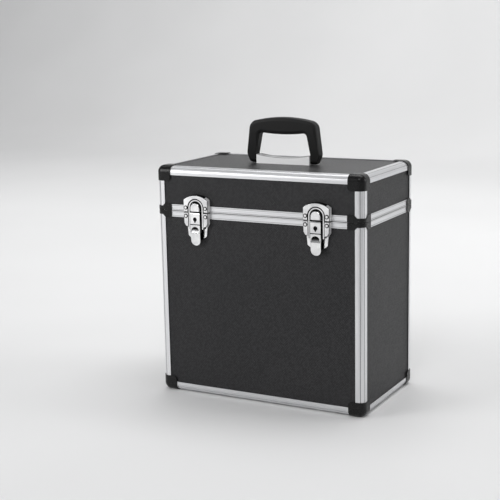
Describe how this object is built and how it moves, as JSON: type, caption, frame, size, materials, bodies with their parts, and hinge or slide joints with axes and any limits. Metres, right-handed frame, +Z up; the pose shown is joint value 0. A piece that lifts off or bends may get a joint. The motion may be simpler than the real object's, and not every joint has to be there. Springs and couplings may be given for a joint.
{
  "type": "record carrying case",
  "caption": "Tall lined box for 12-inch records: laminated board in aluminium edging, capped corners, hinged lid, keyed draw latches, folding carrying handle.",
  "frame": {"origin": "middle of the underside, on the surface that the case stands on", "axes": "+X to the right along the hinge line as seen from the latches, +Y from the latches to the hinges, +Z up through the handle"},
  "size_m": [0.3524, 0.2137, 0.4356],
  "materials": {
    "panel_laminate": "black textured laminate on board",
    "edge_aluminium": "satin anodised extrusion",
    "corner_plastic": "semi-gloss moulded",
    "lining_felt": "matte felt glued to the board",
    "latch_chrome": "bright plated pressing",
    "handle_plastic": "soft matte moulded",
    "hinge_steel": "plated",
    "pin_steel": "plain",
    "rivet_steel": "plated",
    "lock_steel": "dark plated"
  },
  "bodies": {
    "body": {"base_panel": "panel_laminate", "body_front_panel": "panel_laminate", "body_back_panel": "panel_laminate", "body_left_panel": "panel_laminate", "body_right_panel": "panel_laminate", "body_lining": "lining_felt", "base_front_profile": "edge_aluminium", "base_back_profile": "edge_aluminium", "base_left_profile": "edge_aluminium", "base_right_profile": "edge_aluminium", "body_upright_front_left": "edge_aluminium", "body_upright_front_right": "edge_aluminium", "body_upright_back_left": "edge_aluminium", "body_upright_back_right": "edge_aluminium", "body_front_rim": "edge_aluminium", "body_back_rim": "edge_aluminium", "body_left_rim": "edge_aluminium", "body_right_rim": "edge_aluminium", "base_ball_corners": "corner_plastic", "body_middle_corners": "corner_plastic", "latch_base_left": "latch_chrome", "latch_base_right": "latch_chrome", "lever_pins": "pin_steel", "hinge_leaves_body": "hinge_steel", "body_rivets": "rivet_steel"},
    "lid": {"lid_top_panel": "panel_laminate", "lid_front_panel": "panel_laminate", "lid_back_panel": "panel_laminate", "lid_left_panel": "panel_laminate", "lid_right_panel": "panel_laminate", "lid_lining": "lining_felt", "lid_front_profile": "edge_aluminium", "lid_back_profile": "edge_aluminium", "lid_left_profile": "edge_aluminium", "lid_right_profile": "edge_aluminium", "lid_upright_front_left": "edge_aluminium", "lid_upright_front_right": "edge_aluminium", "lid_upright_back_left": "edge_aluminium", "lid_upright_back_right": "edge_aluminium", "lid_front_rim": "edge_aluminium", "lid_back_rim": "edge_aluminium", "lid_left_rim": "edge_aluminium", "lid_right_rim": "edge_aluminium", "lid_ball_corners": "corner_plastic", "lid_middle_corners": "corner_plastic", "strike_plate_left": "latch_chrome", "strike_plate_right": "latch_chrome", "hinge_leaves_lid": "hinge_steel", "hinge_pins": "pin_steel", "handle_bracket": "latch_chrome", "handle_pins": "pin_steel", "lid_rivets": "rivet_steel"},
    "handle": {"handle": "handle_plastic"},
    "lever_left": {"lever_left": "latch_chrome"},
    "lever_right": {"lever_right": "latch_chrome"},
    "loop_left": {"loop_left": "latch_chrome"},
    "loop_right": {"loop_right": "latch_chrome"},
    "lock_left": {"lock_plug_left": "lock_steel"},
    "lock_right": {"lock_plug_right": "lock_steel"}
  },
  "joints": [
    {"name": "lid_hinge", "type": "hinge", "parent": "body", "child": "lid", "pos_m": [0, 0.103, 0.295], "axis": [-1, 0, 0], "range_deg": [0, 180]},
    {"name": "handle_pivot", "type": "hinge", "parent": "lid", "child": "handle", "pos_m": [0, 0, 0.3704], "axis": [1, 0, 0], "range_deg": [-84, 84]},
    {"name": "lever_left_pivot", "type": "hinge", "parent": "body", "child": "lever_left", "pos_m": [-0.1025, -0.104, 0.2927], "axis": [-1, 0, 0], "range_deg": [0, 90]},
    {"name": "loop_left_pivot", "type": "hinge", "parent": "lever_left", "child": "loop_left", "pos_m": [-0.1025, -0.1034, 0.27], "axis": [-1, 0, 0], "range_deg": [-72, 0]},
    {"name": "lock_left_turn", "type": "hinge", "parent": "lever_left", "child": "lock_left", "pos_m": [-0.1025, -0.105, 0.2846], "axis": [0, -1, 0], "range_deg": [0, 90]},
    {"name": "lever_right_pivot", "type": "hinge", "parent": "body", "child": "lever_right", "pos_m": [0.1025, -0.104, 0.2927], "axis": [-1, 0, 0], "range_deg": [0, 90]},
    {"name": "loop_right_pivot", "type": "hinge", "parent": "lever_right", "child": "loop_right", "pos_m": [0.1025, -0.1034, 0.27], "axis": [-1, 0, 0], "range_deg": [-72, 0]},
    {"name": "lock_right_turn", "type": "hinge", "parent": "lever_right", "child": "lock_right", "pos_m": [0.1025, -0.105, 0.2846], "axis": [0, -1, 0], "range_deg": [0, 90]}
  ],
  "couplings": [
    {"joint": "loop_left_pivot", "follows": "lever_left_pivot", "ratio": -0.8},
    {"joint": "loop_right_pivot", "follows": "lever_right_pivot", "ratio": -0.8}
  ]
}
